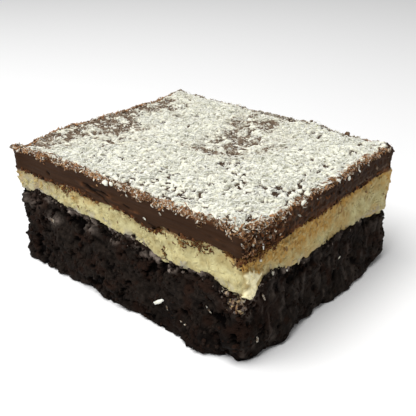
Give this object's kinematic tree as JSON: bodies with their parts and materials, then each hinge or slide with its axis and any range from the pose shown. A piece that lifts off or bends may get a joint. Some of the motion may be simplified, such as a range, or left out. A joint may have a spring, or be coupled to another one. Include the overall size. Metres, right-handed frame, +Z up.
{
  "type": "coconut ganache brownie",
  "caption": "Square-cut tray bake: a dark crumbly brownie base, a pale coconut cream layer and a chocolate ganache slab sprinkled with desiccated coconut.",
  "frame": {"origin": "middle of the footprint's bounding box, on the surface that the block stands on", "axes": "+Z up; +X along the long side; the long cut face looks along -Y and the short one along +X"},
  "size_m": [0.0732, 0.0616, 0.0318],
  "materials": {
    "brownie_crumb": "very dark, moist, crumbly cake",
    "coconut_cream": "pale yellow, fibrous coconut filling, stained tan by the ganache",
    "ganache": "dark chocolate, smooth where the knife passed, satin",
    "dried_coconut": "white, dry shreds and chips"
  },
  "bodies": {
    "root": {"brownie_base": "brownie_crumb", "coconut_cream": "coconut_cream", "ganache_top": "ganache"}
  },
  "joints": []
}
